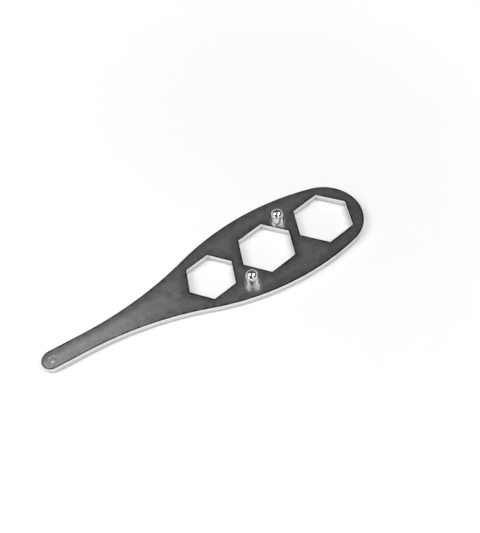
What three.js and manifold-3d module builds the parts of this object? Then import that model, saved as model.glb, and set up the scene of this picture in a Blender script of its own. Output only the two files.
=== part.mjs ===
// Clutch removal tool for small engines: a flat steel paddle with three hexagon openings that fit
// clutch hubs, and two round-ended drive pins that fit a clutch with two holes.
// Millimetres, +Z up. The tool lies on its back face with the pins up, and its nose points to +X.

import * as THREE from "three";
import { mergeVertices } from "three/addons/utils/BufferGeometryUtils.js";
import Module from "manifold-3d";

// Driving dimensions: plate
const PLATE_THICKNESS = 3.5;
const EDGE_BREAK = 0.1; // chamfer that deburring leaves along every cut edge

// Driving dimensions: handle
const HANDLE_WIDTH = 9.4;
const HANDLE_STRAIGHT = 14.8; // parallel part, from the tail's round to the start of the neck
const HANG_HOLE_DIAMETER = 3.5;

// Driving dimensions: paddle outline
const NECK_RADIUS = 156; // hollow sweep from the handle into the paddle
const SIDE_RADIUS = 118; // swelling side of the paddle
const SIDE_BULGE = 3.55; // how far each side swells beyond the nose's own radius
const NOSE_WALL = 4.65; // metal between the large hexagon's corners and the nose

// Driving dimensions: hexagon openings, by the hub size that each one takes across flats
const SMALL_HEX = 21;
const MIDDLE_HEX = 24;
const LARGE_HEX = 25;
const HEX_CLEARANCE = 0.2;
const HEX_TURN_DEGREES = 10.4; // a corner points this far off the handle's line
const HANDLE_SIDE_WEB = 3.3; // metal between the corner circles of the small and middle hexagons
const NOSE_SIDE_WEB = 2.7; // the same between the middle and large hexagons

// Driving dimensions: drive pins
const PIN_DIAMETER = 6.35;
const PIN_HEIGHT = 7; // above the plate's face
const PIN_FIT_GAP = 0.02; // between the pin and its bore, all round
const PIN_BACK_CHAMFER = 0.4;
const PIN_BACK_RECESS = 0.2; // the pin's back end stops this far inside the plate
const NOSE_PIN_WEB = 1.2; // metal between the middle hexagon's flat and the pin on the nose side
const HANDLE_PIN_WEB = 4; // the same for the pin on the handle side

// Facets
const ARC_DIVISIONS = 12; // each arc of the outline gets twice this many chords
const PIN_SIDES = 48;
const PIN_TIP_STEPS = 10;

const manifoldLibrary = await Module();
manifoldLibrary.setup();

// Layout, with x measured along the handle's line from the middle hexagon's centre

const hexCornerRadius = (size) => (size + HEX_CLEARANCE) / Math.sqrt(3);
const hexFlatDistance = (size) => (size + HEX_CLEARANCE) / 2;
const hexTurn = THREE.MathUtils.degToRad(HEX_TURN_DEGREES);

const smallHexX = -(hexCornerRadius(SMALL_HEX) + HANDLE_SIDE_WEB + hexCornerRadius(MIDDLE_HEX));
const largeHexX = hexCornerRadius(MIDDLE_HEX) + NOSE_SIDE_WEB + hexCornerRadius(LARGE_HEX);

const handleHalf = HANDLE_WIDTH / 2;
const noseRadius = hexCornerRadius(LARGE_HEX) + NOSE_WALL;
const paddleHalf = noseRadius + SIDE_BULGE;

// The nose is round about the large hexagon. Each side arc touches it from outside, and each neck
// arc touches the side arc and the straight handle.
const noseSweep = Math.acos((SIDE_RADIUS - paddleHalf) / (SIDE_RADIUS - noseRadius));
const sideX = largeHexX - (SIDE_RADIUS - noseRadius) * Math.sin(noseSweep);
const neckSweep = Math.acos(1 - (paddleHalf - handleHalf) / (NECK_RADIUS + SIDE_RADIUS));
const neckX = sideX - (NECK_RADIUS + SIDE_RADIUS) * Math.sin(neckSweep);
const tailX = neckX - HANDLE_STRAIGHT;

const noseEndX = largeHexX + noseRadius;
const tailEndX = tailX - handleHalf;

// The pins stand on opposite flats of the middle hexagon, on the line square to those flats.
const pinLine = hexTurn + Math.PI / 6;
const pinRadius = PIN_DIAMETER / 2;
const nosePinDistance = hexFlatDistance(MIDDLE_HEX) + NOSE_PIN_WEB + pinRadius;
const handlePinDistance = hexFlatDistance(MIDDLE_HEX) + HANDLE_PIN_WEB + pinRadius;

function alongPinLine(distance) {
  return new THREE.Vector2(Math.cos(pinLine), Math.sin(pinLine)).multiplyScalar(distance);
}

// Plate

function paddleOutline() {
  const quarter = Math.PI / 2;
  const outline = new THREE.Shape();
  outline.moveTo(tailX, -handleHalf);
  outline.lineTo(neckX, -handleHalf);
  outline.absarc(neckX, -handleHalf - NECK_RADIUS, NECK_RADIUS, quarter, quarter - neckSweep, true);
  outline.absarc(sideX, SIDE_RADIUS - paddleHalf, SIDE_RADIUS, -quarter - neckSweep, noseSweep - quarter);
  outline.absarc(largeHexX, 0, noseRadius, noseSweep - quarter, quarter - noseSweep);
  outline.absarc(sideX, paddleHalf - SIDE_RADIUS, SIDE_RADIUS, quarter - noseSweep, quarter + neckSweep);
  outline.absarc(neckX, handleHalf + NECK_RADIUS, NECK_RADIUS, neckSweep - quarter, -quarter, true);
  outline.lineTo(tailX, handleHalf);
  outline.absarc(tailX, 0, handleHalf, quarter, 3 * quarter);
  return outline;
}

function hexOpening(centreX, size) {
  const corners = [];
  for (let corner = 0; corner < 6; corner++) {
    const angle = hexTurn + (corner * Math.PI) / 3;
    const reach = hexCornerRadius(size);
    corners.push(new THREE.Vector2(centreX + reach * Math.cos(angle), reach * Math.sin(angle)));
  }
  return new THREE.Path(corners);
}

function hangHole() {
  return new THREE.Path().absarc(tailX, 0, HANG_HOLE_DIAMETER / 2, 0, 2 * Math.PI);
}

function solidFrom(geometry) {
  geometry.deleteAttribute("normal");
  geometry.deleteAttribute("uv");
  const merged = mergeVertices(geometry);
  return new manifoldLibrary.Manifold(
    new manifoldLibrary.Mesh({
      numProp: 3,
      vertProperties: merged.getAttribute("position").array,
      triVerts: new Uint32Array(merged.index.array),
    }),
  );
}

function geometryFrom(solid) {
  const mesh = solid.getMesh();
  const geometry = new THREE.BufferGeometry();
  geometry.setAttribute("position", new THREE.BufferAttribute(mesh.vertProperties, 3));
  geometry.setIndex(new THREE.BufferAttribute(mesh.triVerts, 1));
  geometry.computeVertexNormals();
  return geometry;
}

function pinBore(place) {
  const overrun = PLATE_THICKNESS;
  const radius = pinRadius + PIN_FIT_GAP;
  const bore = new THREE.CylinderGeometry(radius, radius, PLATE_THICKNESS + 2 * overrun, PIN_SIDES);
  bore.rotateX(Math.PI / 2);
  bore.translate(place.x, place.y, PLATE_THICKNESS / 2);
  return solidFrom(bore);
}

function plateGeometry(pinPlaces) {
  const outline = paddleOutline();
  outline.holes = [
    hexOpening(smallHexX, SMALL_HEX),
    hexOpening(0, MIDDLE_HEX),
    hexOpening(largeHexX, LARGE_HEX),
    hangHole(),
  ];
  const blank = new THREE.ExtrudeGeometry(outline, {
    depth: PLATE_THICKNESS - 2 * EDGE_BREAK,
    curveSegments: ARC_DIVISIONS,
    bevelThickness: EDGE_BREAK,
    bevelSize: EDGE_BREAK,
    bevelOffset: -EDGE_BREAK,
    bevelSegments: 1,
  });
  blank.translate(0, 0, EDGE_BREAK);
  let plate = solidFrom(blank);
  for (const place of pinPlaces) plate = plate.subtract(pinBore(place));
  return geometryFrom(plate);
}

// Drive pins: ground dowels pressed through the plate, with a full round on the working end

function pinGeometry() {
  const shoulder = PLATE_THICKNESS + PIN_HEIGHT - pinRadius;
  const profile = [
    new THREE.Vector2(0, PIN_BACK_RECESS),
    new THREE.Vector2(pinRadius - PIN_BACK_CHAMFER, PIN_BACK_RECESS),
    new THREE.Vector2(pinRadius, PIN_BACK_RECESS + PIN_BACK_CHAMFER),
  ];
  for (let step = 0; step < PIN_TIP_STEPS; step++) {
    const angle = (step / PIN_TIP_STEPS) * (Math.PI / 2);
    profile.push(new THREE.Vector2(pinRadius * Math.cos(angle), shoulder + pinRadius * Math.sin(angle)));
  }
  profile.push(new THREE.Vector2(0, shoulder + pinRadius));
  const pin = new THREE.LatheGeometry(profile, PIN_SIDES);
  pin.rotateX(Math.PI / 2);
  return pin;
}

// Assembly

const rolledSteel = new THREE.MeshStandardMaterial({ color: 0x9c9d9f, roughness: 0.28, metalness: 1 });
const polishedSteel = new THREE.MeshStandardMaterial({ color: 0xd6d7d9, roughness: 0.08, metalness: 1 });

function piece(name, geometry, material) {
  const mesh = new THREE.Mesh(geometry, material);
  mesh.name = name;
  return mesh;
}

const pinPlaces = {
  drive_pin_nose_side: alongPinLine(nosePinDistance),
  drive_pin_handle_side: alongPinLine(-handlePinDistance),
};

const layout = new THREE.Group();
layout.position.x = -(noseEndX + tailEndX) / 2; // the origin is midway along the tool, on its back face
layout.add(piece("paddle_plate", plateGeometry(Object.values(pinPlaces)), rolledSteel));
for (const [name, place] of Object.entries(pinPlaces)) {
  const pin = piece(name, pinGeometry(), polishedSteel);
  pin.position.set(place.x, place.y, 0);
  layout.add(pin);
}

const clutchTool = new THREE.Group();
clutchTool.add(layout);

export default clutchTool;
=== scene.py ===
import math

import bmesh
import bpy
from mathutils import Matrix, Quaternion, Vector
from mathutils.geometry import delaunay_2d_cdt
from mathutils.kdtree import KDTree


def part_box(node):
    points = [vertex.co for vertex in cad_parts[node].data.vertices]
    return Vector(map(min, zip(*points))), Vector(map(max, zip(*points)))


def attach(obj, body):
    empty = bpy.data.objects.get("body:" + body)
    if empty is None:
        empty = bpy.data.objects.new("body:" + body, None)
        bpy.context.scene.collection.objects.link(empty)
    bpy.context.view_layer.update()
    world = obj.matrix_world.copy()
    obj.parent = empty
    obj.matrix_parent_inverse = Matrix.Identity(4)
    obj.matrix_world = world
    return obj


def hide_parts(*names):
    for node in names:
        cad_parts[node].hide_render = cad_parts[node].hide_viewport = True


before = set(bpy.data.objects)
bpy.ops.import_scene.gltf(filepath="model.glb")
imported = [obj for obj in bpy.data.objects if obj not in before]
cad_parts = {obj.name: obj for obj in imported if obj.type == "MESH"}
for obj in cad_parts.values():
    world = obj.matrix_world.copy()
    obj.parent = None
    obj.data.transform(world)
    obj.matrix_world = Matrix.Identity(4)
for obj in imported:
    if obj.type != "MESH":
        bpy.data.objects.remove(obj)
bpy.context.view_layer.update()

# Paddle plate
# One blank of 3.5 mm cold-rolled steel, punched out with its three hexagons, then drilled for the hanging
# hole and the pins. The faces keep their dark satin rolling skin, rubbed lighter round each pin where it
# was pressed in, which also stands in as a painted reflection of the pin. The cut walls are bare metal,
# burnished above and torn below, and the darker lower band is also painted shade at the wall's foot.

MM = 0.001
QUARTER = math.pi / 2
plate_low, plate_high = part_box("paddle_plate")
thickness = plate_high.z
half_width = plate_high.y

HANDLE_HALF = 4.7 * MM
HANG_HOLE_RADIUS = 1.75 * MM
NECK_RADIUS = 156 * MM
SIDE_RADIUS = 118 * MM
NOSE_WALL = 4.65 * MM  # metal between the large hexagon's corners and the nose
SMALL_HEX = 21.2 * MM  # the hexagons' sizes are across flats
MIDDLE_HEX = 24.2 * MM
LARGE_HEX = 25.2 * MM
HANDLE_SIDE_WEB = 3.3 * MM  # metal between the corner circles of the small and middle hexagons
NOSE_SIDE_WEB = 2.7 * MM  # the same between the middle and large hexagons
HEX_TURN = math.radians(10.4)  # a corner points this far off the handle's line
HEX_CORNER_ROUND = 0.25 * MM  # left in each corner by the rounded corners of the punch
BORE_CLEARANCE = 0.02 * MM


def hex_reach(across_flats):
    """From a hexagon's centre to its corners."""
    return across_flats / math.sqrt(3)


nose_radius = hex_reach(LARGE_HEX) + NOSE_WALL
nose_x = plate_high.x - nose_radius
middle_x = nose_x - hex_reach(LARGE_HEX) - NOSE_SIDE_WEB - hex_reach(MIDDLE_HEX)
small_x = middle_x - hex_reach(MIDDLE_HEX) - HANDLE_SIDE_WEB - hex_reach(SMALL_HEX)
tail_x = plate_low.x + HANDLE_HALF
nose_sweep = math.acos((SIDE_RADIUS - half_width) / (SIDE_RADIUS - nose_radius))
side_x = nose_x - (SIDE_RADIUS - nose_radius) * math.sin(nose_sweep)
neck_sweep = math.acos(1 - (half_width - HANDLE_HALF) / (NECK_RADIUS + SIDE_RADIUS))
neck_x = side_x - (NECK_RADIUS + SIDE_RADIUS) * math.sin(neck_sweep)

NECK_STEPS = 40  # chords along each stretch of a cut edge
SIDE_STEPS = 60
NOSE_STEPS = 60
TAIL_STEPS = 32
HEX_CORNER_STEPS = 5
ROUND_HOLE_STEPS = 64
STRAIGHT_STEPS = 15


def arc(centre_x, centre_y, radius, start, end, steps):
    """Points along an arc, both ends included."""
    angles = [start + (end - start) * step / steps for step in range(steps + 1)]
    return [(centre_x + radius * math.cos(a), centre_y + radius * math.sin(a)) for a in angles]


def joined(curves):
    """A closed loop of curves, with a straight run from the end of each one to the start of the next."""
    shares = [step / STRAIGHT_STEPS for step in range(1, STRAIGHT_STEPS)]
    points = []
    for curve, following in zip(curves, curves[1:] + curves[:1]):
        (ax, ay), (bx, by) = curve[-1], following[0]
        points += curve + [(ax + (bx - ax) * share, ay + (by - ay) * share) for share in shares]
    return points


def paddle_loop(inset):
    """The plate's outline, drawn in by inset."""
    neck = NECK_RADIUS + inset
    side = SIDE_RADIUS - inset
    neck_y = HANDLE_HALF + NECK_RADIUS
    side_y = SIDE_RADIUS - half_width
    near_neck = arc(neck_x, -neck_y, neck, QUARTER, QUARTER - neck_sweep, NECK_STEPS)
    near_side = arc(side_x, side_y, side, -QUARTER - neck_sweep, nose_sweep - QUARTER, SIDE_STEPS)
    nose = arc(nose_x, 0, nose_radius - inset, nose_sweep - QUARTER, QUARTER - nose_sweep, NOSE_STEPS)
    far_side = arc(side_x, -side_y, side, QUARTER - nose_sweep, QUARTER + neck_sweep, SIDE_STEPS)
    far_neck = arc(neck_x, neck_y, neck, neck_sweep - QUARTER, -QUARTER, NECK_STEPS)
    paddle = near_neck + near_side[1:] + nose[1:] + far_side[1:] + far_neck[1:]
    tail = arc(tail_x, 0, HANDLE_HALF - inset, QUARTER, 3 * QUARTER, TAIL_STEPS)
    return joined([paddle, tail])


def hex_loop(centre_x, across_flats):
    """A maker of one hexagon's outline, widened by inset."""

    def loop(inset):
        reach = hex_reach(across_flats - 2 * HEX_CORNER_ROUND)
        radius = HEX_CORNER_ROUND + inset
        half_turn = math.pi / 6
        corners = []
        for corner in range(6):
            angle = HEX_TURN + corner * math.pi / 3
            x = centre_x + reach * math.cos(angle)
            y = reach * math.sin(angle)
            corners.append(arc(x, y, radius, angle - half_turn, angle + half_turn, HEX_CORNER_STEPS))
        return joined(corners)

    return loop


def round_loop(centre_x, centre_y, radius):
    """A maker of one round hole's outline, widened by inset."""
    return lambda inset: arc(centre_x, centre_y, radius + inset, 0, 2 * math.pi, ROUND_HOLE_STEPS)[:-1]


def bore_loop(pin_node):
    """A maker of the outline of the bore that this pin stands in."""
    low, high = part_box(pin_node)
    return round_loop((low.x + high.x) / 2, (low.y + high.y) / 2, (high.x - low.x) / 2 + BORE_CLEARANCE)


PIN_NODES = ("drive_pin_nose_side", "drive_pin_handle_side")
punched_loops = [
    paddle_loop,
    hex_loop(small_x, SMALL_HEX),
    hex_loop(middle_x, MIDDLE_HEX),
    hex_loop(nose_x, LARGE_HEX),
]
bore_loops = [bore_loop(node) for node in PIN_NODES]
plate_loops = punched_loops + bore_loops + [round_loop(tail_x, 0, HANG_HOLE_RADIUS)]

EDGE_ROUND = 0.12 * MM  # what deburring leaves on every edge
EDGE_ROUND_STEPS = 4
FACE_INSETS = (0.45 * MM, 0.25 * MM)  # rings of points on a face beside each edge
WALL_MARGIN = 0.2 * MM  # and on a wall below its round
FACE_PITCH = 0.9 * MM  # spacing of the points inside the flat faces
WELD = 0.001 * MM  # points of a mesh that lie closer than this are one
NEARNESS = 1e-6 * MM  # the same for the outlines that a flat face is filled between


def edge_section():
    """(inset, height) down one cut edge: top face, round, wall, round, back face."""
    upper = [(inset, thickness) for inset in FACE_INSETS]
    for step in range(EDGE_ROUND_STEPS + 1):
        turn = QUARTER * step / EDGE_ROUND_STEPS
        upper.append((EDGE_ROUND * (1 - math.sin(turn)), thickness - EDGE_ROUND * (1 - math.cos(turn))))
    upper.append((0.0, thickness - EDGE_ROUND - WALL_MARGIN))
    return upper + [(inset, thickness - height) for inset, height in reversed(upper)]


def inside(x, y, loop):
    """Whether a point lies in a closed loop of points."""
    crossings = 0
    for (ax, ay), (bx, by) in zip(loop, loop[1:] + loop[:1]):
        if (ay > y) != (by > y) and x < ax + (y - ay) * (bx - ax) / (by - ay):
            crossings += 1
    return crossings % 2 == 1


def nearest_finder(points):
    """A function that gives the distance from a place, seen from above, to the nearest of these points."""
    tree = KDTree(len(points))
    for index, point in enumerate(points):
        tree.insert((point.x, point.y, 0), index)
    tree.balance()
    return lambda x, y: tree.find((x, y, 0))[2]


def face_triangles(loops):
    """Points and triangles of the flat metal between the outline and the holes."""
    points = [Vector(point) for loop in loops for point in loop]
    edges = []
    for loop in loops:
        first = len(edges)
        edges += [(first + i, first + (i + 1) % len(loop)) for i in range(len(loop))]
    rim_distance = nearest_finder(points)

    def on_metal(x, y):
        return inside(x, y, loops[0]) and not any(inside(x, y, loop) for loop in loops[1:])

    columns = int((plate_high.x - plate_low.x) / FACE_PITCH)
    rows = int(2 * half_width / FACE_PITCH)
    for column in range(columns):
        for row in range(rows):
            x = plate_low.x + (column + 0.5 * (row % 2)) * FACE_PITCH
            y = plate_low.y + (row + 0.5) * FACE_PITCH
            if rim_distance(x, y) > FACE_PITCH / 2 and on_metal(x, y):
                points.append(Vector((x, y)))
    flat = delaunay_2d_cdt(points, edges, [], 0, NEARNESS)
    places, triangles = flat[0], flat[2]
    middles = [sum((places[i] for i in t), Vector((0, 0))) / 3 for t in triangles]
    return places, [t for t, middle in zip(triangles, middles) if on_metal(*middle)]


def welded_mesh(name, shell):
    """A smooth mesh from the faces built in shell, with their shared points made one."""
    bmesh.ops.remove_doubles(shell, verts=shell.verts[:], dist=WELD)
    bmesh.ops.recalc_face_normals(shell, faces=shell.faces[:])
    mesh = bpy.data.meshes.new(name)
    shell.to_mesh(mesh)
    shell.free()
    mesh.shade_smooth()
    return mesh


def cut_plate_mesh():
    """Rings of faces down every cut edge, and the two flat faces between them."""
    section = edge_section()
    shell = bmesh.new()
    for loop in plate_loops:
        rings = [[shell.verts.new((x, y, z)) for x, y in loop(inset)] for inset, z in section]
        for upper, lower in zip(rings, rings[1:]):
            for i in range(len(upper)):
                shell.faces.new((upper[i - 1], upper[i], lower[i], lower[i - 1]))
    places, triangles = face_triangles([loop(FACE_INSETS[0]) for loop in plate_loops])
    for height in (thickness, 0.0):
        corners = [shell.verts.new((x, y, height)) for x, y in places]
        for triangle in triangles:
            shell.faces.new([corners[i] for i in triangle])
    return welded_mesh("cut_plate", shell)


ROLL_DEPTH = 0.146 * MM  # how far punching and pressing drew the upper face down at an edge
ROLL_REACH = 2.0 * MM  # and how far in from the edge that fades
EDGE_SPLIT = 12  # points that each chord of a cut edge is measured at


def edge_distances(mesh, loops):
    """How far each point of the mesh lies from the nearest of these cut edges, seen from above."""
    edge_points = []
    for loop in loops:
        points = [Vector(point) for point in loop(0.0)]
        for start, end in zip(points, points[1:] + points[:1]):
            edge_points += [start.lerp(end, share / EDGE_SPLIT) for share in range(EDGE_SPLIT)]
    edge_distance = nearest_finder(edge_points)
    return [edge_distance(vertex.co.x, vertex.co.y) for vertex in mesh.vertices]


def roll_edges(mesh):
    """Draws the upper face down towards its cut edges."""
    for vertex, distance in zip(mesh.vertices, edge_distances(mesh, punched_loops + bore_loops)):
        vertex.co.z *= 1 - ROLL_DEPTH / thickness * math.exp(-distance / ROLL_REACH)


def note_distances(mesh, name, loops):
    """Keeps each point's distance from these cut edges in the mesh, for the finish to read."""
    noted = mesh.attributes.new(name, "FLOAT", "POINT")
    noted.data.foreach_set("value", edge_distances(mesh, loops))


class Signal:
    """A shader value: arithmetic on it adds Math nodes, and node() adds any other node to its tree."""

    def __init__(self, tree, socket=None):
        self.tree = tree
        self.socket = socket

    def fill(self, node, sockets):
        """Gives a node's sockets their values or links."""
        for name, value in sockets.items():
            if isinstance(value, Signal):
                self.tree.links.new(value.socket, node.inputs[name])
            else:
                node.inputs[name].default_value = value

    def node(self, kind, settings, sockets, output=0):
        """One output of a new node, whose settings are set before its sockets."""
        made = self.tree.nodes.new(kind)
        for name, value in settings.items():
            setattr(made, name, value)
        self.fill(made, sockets)
        return Signal(self.tree, made.outputs[output])

    def math(self, operation, first, second):
        """One Math node on two values."""
        return self.node("ShaderNodeMath", {"operation": operation}, {0: first, 1: second})

    def __add__(self, other):
        return self.math("ADD", self, other)

    def __sub__(self, other):
        return self.math("SUBTRACT", self, other)

    def __rsub__(self, other):
        return self.math("SUBTRACT", other, self)

    def __mul__(self, other):
        return self.math("MULTIPLY", self, other)

    __radd__ = __add__
    __rmul__ = __mul__

    def noted(self, name):
        """What the mesh keeps at each of its points under this name."""
        return self.node("ShaderNodeAttribute", {"attribute_name": name}, {}, output="Fac")

    def along(self, axis):
        """One coordinate of this vector."""
        return self.node("ShaderNodeSeparateXYZ", {}, {0: self}, output=axis)

    def rise(self, low, high):
        """0 below low, 1 above high and smooth between."""
        ends = {"Value": self, "From Min": low, "From Max": high}
        return self.node("ShaderNodeMapRange", {"interpolation_type": "SMOOTHSTEP"}, ends)

    def stretched(self, scale, turn=0.0):
        """These coordinates, scaled by three numbers and turned about Z."""
        return self.node(
            "ShaderNodeMapping", {"vector_type": "POINT"},
            {"Vector": self, "Rotation": (0, 0, turn), "Scale": scale},
        )

    def noise(self, scale=1.0, detail=2.0):
        """Cloudy values around 0.5 at these coordinates."""
        return self.node(
            "ShaderNodeTexNoise", {"noise_dimensions": "3D"},
            {"Vector": self, "Scale": scale, "Detail": detail},
        )

    def between(self, first, second):
        """A colour that goes from first to second as this value goes from 0 to 1."""
        factor, colour_a, colour_b = 0, 6, 7
        return self.node(
            "ShaderNodeMix", {"data_type": "RGBA"},
            {factor: self, colour_a: first, colour_b: second}, output=2,
        )

    def bump(self, strength, distance):
        """A surface normal from this height."""
        return self.node(
            "ShaderNodeBump", {}, {"Height": self, "Strength": strength, "Distance": distance}
        )


def new_finish(name):
    """A new material, a signal to start its nodes from, and its shader."""
    material = bpy.data.materials.new(name)
    material.use_nodes = True
    return material, Signal(material.node_tree), material.node_tree.nodes["Principled BSDF"]


def grey(level):
    """A neutral colour, where 1 is white."""
    return (level, level, level, 1.0)


SKIN_LIGHTEST = 0.625
SKIN_MIDDLE = 0.7  # where the skin's middle tone lies between black and its lightest
SKIN_ROUGHNESS = 0.34
FAR_SIDE_PAINTED_LIGHT = 3.0  # painted light: how much the tone gains for each metre towards the far side
PAINTED_EDGE_LINE = (0.2 * MM, 1.1 * MM)  # painted shade: a dark line along a punched edge, fading out between these distances
PAINTED_EDGE_SHADE = (0.0, 6 * MM)  # and softer painted shade beside it, fading out between these
EDGE_WANDER = 0.6 * MM  # how far the mottling shifts both
RUBBED_AND_REFLECTION_GREY = 0.7
RUBBED_AND_REFLECTION_RING = (0.1 * MM, 0.9 * MM)  # the lighter ring round a pin, worn and also a painted reflection of the pin, fades out between these distances
RUBBED_AND_REFLECTION_WANDER = 0.4 * MM
TORN_AND_SHADED_GREY = 0.56
BURNISHED_GREY = 0.86
WALL_ROUGHNESS = 0.48


def rolled_steel_finish():
    """Dark mottled skin on the faces and bare metal on the walls."""
    material, start, shader = new_finish("rolled_steel")
    place = start.node("ShaderNodeTexCoord", {}, {}, output="Object")
    facing = start.node("ShaderNodeNewGeometry", {}, {}, output="Normal").along("Z")
    flat = (facing * facing).rise(low=0.05, high=0.45)
    wall = 1 - flat

    # Scales are in spots per metre. The grain runs along the handle, and the scratches at a slant to it.
    cloud = place.noise(scale=60)
    mottle = place.noise(scale=330, detail=3.0)
    speckle = place.noise(scale=1400)
    grain = place.stretched(scale=(90, 2600, 90)).noise(detail=3.0)
    slant = place.stretched(scale=(35, 1500, 35), turn=0.5)
    scratches = slant.noise(detail=1.0).rise(low=0.70, high=0.75)
    streaks = place.stretched(scale=(2200, 2200, 120)).noise()
    shift = mottle - 0.5

    # Painted shade darkens the skin along the punched edges. Round the pins the skin is worn off, and that
    # lighter ring is also a painted reflection of the pins.
    punched = start.noted("punched_distance") + shift * EDGE_WANDER
    painted_edge_shade = (1 - punched.rise(*PAINTED_EDGE_LINE)) * 0.45 + (1 - punched.rise(*PAINTED_EDGE_SHADE)) * 0.38
    # The tone gains towards the far side as painted light.
    tone = 1.0 + place.along("Y") * FAR_SIDE_PAINTED_LIGHT + scratches * 0.1 - painted_edge_shade
    for texture, weight in ((cloud, 0.25), (mottle, 0.3), (speckle, 0.7), (grain, 0.25)):
        tone = tone + (texture - 0.5) * weight
    skin = (tone * SKIN_MIDDLE).between(grey(0.0), grey(SKIN_LIGHTEST))
    # A lighter ring round each pin: rubbed bare by pressing, and also a painted reflection of the pin.
    seat = start.noted("seat_distance") + shift * RUBBED_AND_REFLECTION_WANDER
    rubbed_and_reflection = 1 - seat.rise(*RUBBED_AND_REFLECTION_RING)
    face = rubbed_and_reflection.between(skin, grey(RUBBED_AND_REFLECTION_GREY))
    face_roughness = SKIN_ROUGHNESS + shift * 0.12 + (grain - 0.5) * 0.08 + rubbed_and_reflection * 0.16

    # Walls are lighter above and darker below: the burnished and torn zones of a punched edge, with the
    # dark lower band also painted shade at the wall's foot.
    burnish_and_foot_shade = place.along("Z").rise(0.25 * thickness, 0.75 * thickness)
    bare = (streaks * 0.4 + burnish_and_foot_shade * 0.6).between(grey(TORN_AND_SHADED_GREY), grey(BURNISHED_GREY))
    wall_roughness = WALL_ROUGHNESS + (streaks - 0.5) * 0.2

    relief = (grain * 0.5 + mottle * 0.5 - scratches * 0.4) * flat + streaks * wall
    start.fill(shader, {
        "Base Color": wall.between(face, bare),
        "Metallic": 1.0,
        "Roughness": face_roughness * flat + wall_roughness * wall,
        "Normal": relief.bump(strength=0.15, distance=0.03 * MM),
    })
    return material


def placed(name, data):
    """A new object in the scene, from this mesh, lamp or camera."""
    made = bpy.data.objects.new(name, data)
    bpy.context.scene.collection.objects.link(made)
    return made


plate = placed("cut_plate", cut_plate_mesh())
roll_edges(plate.data)
note_distances(plate.data, "punched_distance", punched_loops)
note_distances(plate.data, "seat_distance", bore_loops)
plate.data.materials.append(rolled_steel_finish())
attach(plate, "root")
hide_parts("paddle_plate")

# Drive pins
# Two hardened dowels, ground and polished, with a full round on the working end and a small chamfer
# on the back. Each is pressed through its bore until its back end lies just inside the plate.

PIN_CHAMFER = 0.4 * MM
PIN_SIDES = 96
PIN_ROUND_STEPS = 24
PIN_SHARP_ANGLE = math.radians(30)  # an edge that turns more than this stays crisp
PIN_DARKEST = 0.58
PIN_LIGHTEST = 0.68
PIN_RIM_TINT = 0.25  # dims what the steel mirrors at a glancing angle
PIN_ROUGHNESS = 0.05


def pin_mesh(node):
    """A pin turned about the middle of this node's box."""
    low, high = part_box(node)
    radius = (high.x - low.x) / 2
    shoulder = high.z - radius
    axis = Vector(((low.x + high.x) / 2, (low.y + high.y) / 2, 0))
    section = [(0.0, low.z), (radius - PIN_CHAMFER, low.z), (radius, low.z + PIN_CHAMFER)]
    for step in range(PIN_ROUND_STEPS + 1):
        turn = QUARTER * step / PIN_ROUND_STEPS
        section.append((radius * math.cos(turn), shoulder + radius * math.sin(turn)))
    turned = bmesh.new()
    points = [turned.verts.new(axis + Vector((r, 0, z))) for r, z in section]
    lines = [turned.edges.new(pair) for pair in zip(points, points[1:])]
    bmesh.ops.spin(
        turned, geom=points + lines, cent=axis, axis=(0, 0, 1), angle=2 * math.pi, steps=PIN_SIDES
    )
    mesh = welded_mesh("pin", turned)
    mesh.set_sharp_from_angle(angle=PIN_SHARP_ANGLE)
    return mesh


def polished_steel_finish():
    """Polished steel under a slight haze, with the faint rings that grinding leaves."""
    material, start, shader = new_finish("polished_steel")
    place = start.node("ShaderNodeTexCoord", {}, {}, output="Object")
    rings = place.stretched(scale=(60, 60, 5200)).noise()
    haze = place.noise(scale=900, detail=3.0)
    start.fill(shader, {
        "Base Color": haze.between(grey(PIN_DARKEST), grey(PIN_LIGHTEST)),
        "Specular Tint": grey(PIN_RIM_TINT),
        "Metallic": 1.0,
        "Roughness": PIN_ROUGHNESS + haze * 0.06 + rings * 0.04,
        "Normal": rings.bump(strength=0.04, distance=0.01 * MM),
    })
    return material


pin_finish = polished_steel_finish()
for node in PIN_NODES:
    pin = placed(node.replace("drive", "polished"), pin_mesh(node))
    pin.data.materials.append(pin_finish)
    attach(pin, "root")
    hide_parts(node)

# Studio
# A wide white table that the tool lies on, in a pale surround that is darker overhead. Soft lamps stand off
# the tail, the nose and the front, with a low strip off the tail and a small lamp over the handle.

FLOOR_HALF = 4.0
FLOOR_GAP = 0.32 * MM  # burrs and a slight bow hold the plate this far off the table
FLOOR_WHITE = 0.93
FLOOR_LIFT = 0.03  # white that the table has of its own near the tool
ROUND_LIFT = 0.13  # more of it round the tool, past the patch that the lamps light evenly
ROUND_RISE = (0.06, 0.28)  # which comes in between these distances from the tool's middle
FAR_LIFT = 0.8  # and far out, where the lamps no longer reach
FAR_RISE = (0.15, 1.0)


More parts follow.
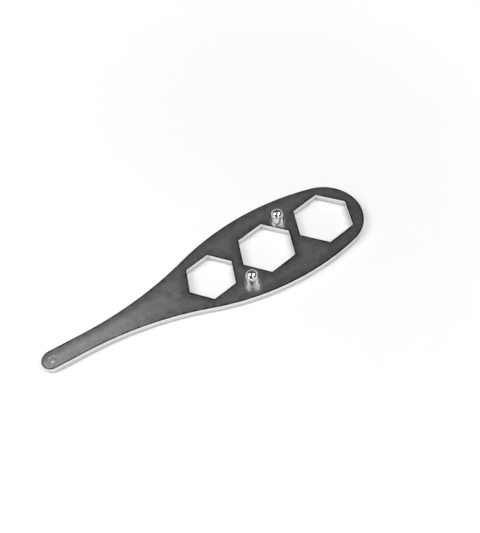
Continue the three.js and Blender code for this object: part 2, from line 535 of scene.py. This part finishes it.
def white_table():
    """The table top, whose own white shows only to the eye and in mirrors."""
    top = bpy.data.meshes.new("table")
    corners = [(FLOOR_HALF * x, FLOOR_HALF * y) for x, y in ((-1, -1), (1, -1), (1, 1), (-1, 1))]
    top.from_pydata([(x, y, -FLOOR_GAP) for x, y in corners], [], [(0, 1, 2, 3)])
    table = placed("table", top)
    material, start, shader = new_finish("table_white")
    seen = start.node("ShaderNodeLightPath", {}, {}, output="Is Camera Ray")
    mirrored = start.node("ShaderNodeLightPath", {}, {}, output="Is Glossy Ray")
    through = start.node("ShaderNodeLightPath", {}, {}, output="Is Transmission Ray")
    place = start.node("ShaderNodeTexCoord", {}, {}, output="Object")
    away = start.node("ShaderNodeVectorMath", {"operation": "LENGTH"}, {0: place}, output="Value")
    own_white = FLOOR_LIFT + away.rise(*ROUND_RISE) * ROUND_LIFT + away.rise(*FAR_RISE) * FAR_LIFT
    start.fill(shader, {
        "Base Color": grey(FLOOR_WHITE),
        "Roughness": 1.0,
        "Specular IOR Level": 0.0,
        "Emission Color": ((seen + mirrored + through) * own_white).between(grey(0.0), grey(1.0)),
        "Emission Strength": 1.0,
    })
    table.data.materials.append(material)


LOOK_AT = Vector((15.27 * MM, -2.68 * MM, thickness))
HANDLE = Vector((-48 * MM, 0, thickness))
LAMP_DISTANCE = 1.4
HANDLE_LAMP_DISTANCE = 0.25


def direction(azimuth, elevation):
    """A unit vector, from angles in degrees about +X and above the table."""
    turn, rise = math.radians(azimuth), math.radians(elevation)
    return Vector((math.cos(rise) * math.cos(turn), math.cos(rise) * math.sin(turn), math.sin(rise)))


def soft_lamp(name, aim, distance, angles, size, radiance):
    """A lamp that faces aim from this azimuth and elevation, and looks this bright where 1 is white."""
    width, height = size
    lamp = bpy.data.lights.new(name, "AREA")
    lamp.shape = "RECTANGLE"
    lamp.size = width
    lamp.size_y = height
    lamp.energy = radiance * math.pi * width * height
    away = direction(*angles)
    holder = placed(name, lamp)
    holder.location = aim + away * distance
    holder.rotation_euler = away.to_track_quat("Z", "Y").to_euler()


PALE_TOP = math.sin(math.radians(8))  # the surround is white up to this height
DUSK_FOOT = math.sin(math.radians(18))  # and dusky from this height up
DUSK_SLOPE = (0.13, 0.17, 0)  # how the dusk lightens towards the nose and the far side
DUSK_MIDDLE = 0.012
DUSK_LEAST = 0.08


def surround():
    """The room's own light: white round the horizon, dusky above it."""
    world = bpy.data.worlds.new("surround")
    world.use_nodes = True
    bpy.context.scene.world = world
    start = Signal(world.node_tree)
    look = start.node("ShaderNodeTexCoord", {}, {}, output="Generated")
    overhead = look.along("Z").rise(PALE_TOP, DUSK_FOOT)
    slope = {0: look, 1: DUSK_SLOPE}
    across = start.node("ShaderNodeVectorMath", {"operation": "DOT_PRODUCT"}, slope, output="Value")
    dusk = start.math("MAXIMUM", across + DUSK_MIDDLE, DUSK_LEAST)
    level = 1.0 + overhead * (dusk - 1.0)
    background = world.node_tree.nodes["Background"]
    start.fill(background, {"Color": level.between(grey(0.0), grey(1.0)), "Strength": 1.0})


white_table()
soft_lamp("tail_lamp", LOOK_AT, LAMP_DISTANCE, angles=(161, 47), size=(0.86, 0.8), radiance=4.4)
soft_lamp("nose_lamp", LOOK_AT, LAMP_DISTANCE, angles=(-39, 58), size=(0.75, 0.78), radiance=5.0)
soft_lamp("front_lamp", LOOK_AT, LAMP_DISTANCE, angles=(-95.5, 42), size=(0.40, 1.15), radiance=2.4)
soft_lamp("tail_strip", LOOK_AT, LAMP_DISTANCE, angles=(-170, 15), size=(0.3, 0.75), radiance=2.2)
soft_lamp("handle_lamp", HANDLE, HANDLE_LAMP_DISTANCE, angles=(127, 76), size=(0.15, 0.164), radiance=1.06)
surround()

# Camera
# A normal lens close above the near side, turned and rolled as the photograph has the tool.

CAMERA_DISTANCE = 298.33 * MM
CAMERA_AZIMUTH = -111.51
CAMERA_ELEVATION = 55.53
CAMERA_ROLL = math.radians(-9.72)
LENS = 44.06  # focal length in millimetres
CLIP_START = 10 * MM

camera = placed("camera", bpy.data.cameras.new("camera"))
back = direction(CAMERA_AZIMUTH, CAMERA_ELEVATION)
camera.location = LOOK_AT + back * CAMERA_DISTANCE
camera.rotation_mode = "QUATERNION"
camera.rotation_quaternion = back.to_track_quat("Z", "Y") @ Quaternion((0, 0, 1), CAMERA_ROLL)
camera.data.lens = LENS
camera.data.clip_start = CLIP_START
bpy.context.scene.camera = camera
bpy.context.scene.view_settings.view_transform = "Standard"
